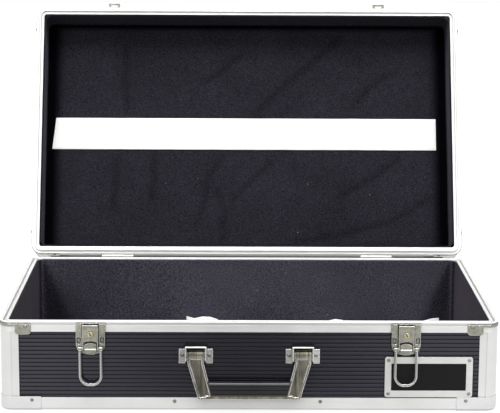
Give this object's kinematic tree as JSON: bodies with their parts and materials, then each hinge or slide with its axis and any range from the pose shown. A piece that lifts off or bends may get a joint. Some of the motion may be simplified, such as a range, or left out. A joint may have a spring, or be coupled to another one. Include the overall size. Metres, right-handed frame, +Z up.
{
  "type": "guitar pedal case",
  "caption": "Carry case with ribbed board walls in aluminium extrusions, key-locking loop latches, a folding handle and a lid that stands open on hinges.",
  "frame": {"origin": "on the floor under the middle of the base, where the case stands", "axes": "+X to the right seen from the latches, +Y to the back and the hinges, +Z up"},
  "size_m": [0.6034, 0.5581, 0.4504],
  "materials": {
    "ribbed_board": "ribbed laminate, satin",
    "extrusion": "clear anodised, satin",
    "pressed_cap": "bright plated",
    "plated_steel": "nickel plated",
    "bright_wire": "bright plated",
    "key_brass": "turned",
    "grip_black": "gloss",
    "badge_metal": "satin",
    "badge_black": "smooth, bare",
    "lining": "thin fabric-faced foam",
    "white_tape": "self-adhesive tape",
    "rivet": "domed",
    "rubber_foot": "matte"
  },
  "bodies": {
    "base": {"back_feet": "rubber_foot", "badge_frame": "badge_metal", "badge_insert": "badge_black", "base_back_panel": "ribbed_board", "base_bottom_panel": "ribbed_board", "base_corner_braces": "plated_steel", "base_corner_caps": "pressed_cap", "base_corner_posts": "extrusion", "base_edge_extrusions": "extrusion", "base_fitting_rivets": "rivet", "base_front_panel": "ribbed_board", "base_left_panel": "ribbed_board", "base_lining": "lining", "base_right_panel": "ribbed_board", "base_rim_back": "extrusion", "base_rim_front": "extrusion", "base_rim_left": "extrusion", "base_rim_right": "extrusion", "base_rivets": "rivet", "floor_tape": "white_tape", "handle_bracket_left": "plated_steel", "handle_bracket_right": "plated_steel", "handle_pins": "plated_steel", "hinge_base_leaf_left": "plated_steel", "hinge_base_leaf_right": "plated_steel", "hinge_pins": "plated_steel", "latch_pins": "plated_steel", "latch_plate_left": "plated_steel", "latch_plate_right": "plated_steel"},
    "lid": {"hinge_lid_leaf_left": "plated_steel", "hinge_lid_leaf_right": "plated_steel", "lid_back_panel": "ribbed_board", "lid_catch_left": "plated_steel", "lid_catch_right": "plated_steel", "lid_corner_braces": "plated_steel", "lid_corner_caps": "pressed_cap", "lid_corner_posts": "extrusion", "lid_edge_extrusions": "extrusion", "lid_fitting_rivets": "rivet", "lid_front_panel": "ribbed_board", "lid_left_panel": "ribbed_board", "lid_lining": "lining", "lid_right_panel": "ribbed_board", "lid_rim_back": "extrusion", "lid_rim_front": "extrusion", "lid_rim_left": "extrusion", "lid_rim_right": "extrusion", "lid_rivets": "rivet", "lid_tape": "white_tape", "lid_top_panel": "ribbed_board"},
    "lever_left": {"latch_lever_left": "plated_steel"},
    "lever_right": {"latch_lever_right": "plated_steel"},
    "key_left": {"key_cylinder_left": "key_brass", "lock_cam_left": "plated_steel"},
    "key_right": {"key_cylinder_right": "key_brass", "lock_cam_right": "plated_steel"},
    "loop_left": {"latch_loop_left": "bright_wire"},
    "loop_right": {"latch_loop_right": "bright_wire"},
    "handle": {"handle_frame": "bright_wire", "handle_grip": "grip_black"}
  },
  "joints": [
    {"name": "lid", "type": "hinge", "parent": "base", "child": "lid", "pos_m": [0, 0.182, 0.1102], "axis": [1, 0, 0], "range_deg": [0, 111.6]},
    {"name": "lever_left", "type": "hinge", "parent": "base", "child": "lever_left", "pos_m": [-0.1904, -0.185, 0.0785], "axis": [1, 0, 0], "range_deg": [0, 105]},
    {"name": "key_left", "type": "hinge", "parent": "lever_left", "child": "key_left", "pos_m": [-0.1904, -0.185, 0.0968], "axis": [0, 1, 0], "range_deg": [0, 90]},
    {"name": "loop_left", "type": "hinge", "parent": "base", "child": "loop_left", "pos_m": [-0.1904, -0.185, 0.0785], "axis": [-1, 0, 0], "range_deg": [-4, 180]},
    {"name": "lever_right", "type": "hinge", "parent": "base", "child": "lever_right", "pos_m": [0.188, -0.185, 0.0785], "axis": [1, 0, 0], "range_deg": [0, 105]},
    {"name": "key_right", "type": "hinge", "parent": "lever_right", "child": "key_right", "pos_m": [0.188, -0.185, 0.0968], "axis": [0, 1, 0], "range_deg": [0, 90]},
    {"name": "loop_right", "type": "hinge", "parent": "base", "child": "loop_right", "pos_m": [0.188, -0.185, 0.0785], "axis": [-1, 0, 0], "range_deg": [-4, 180]},
    {"name": "handle", "type": "hinge", "parent": "base", "child": "handle", "pos_m": [0, -0.184, 0.072], "axis": [-1, 0, 0], "range_deg": [0, 95]}
  ]
}
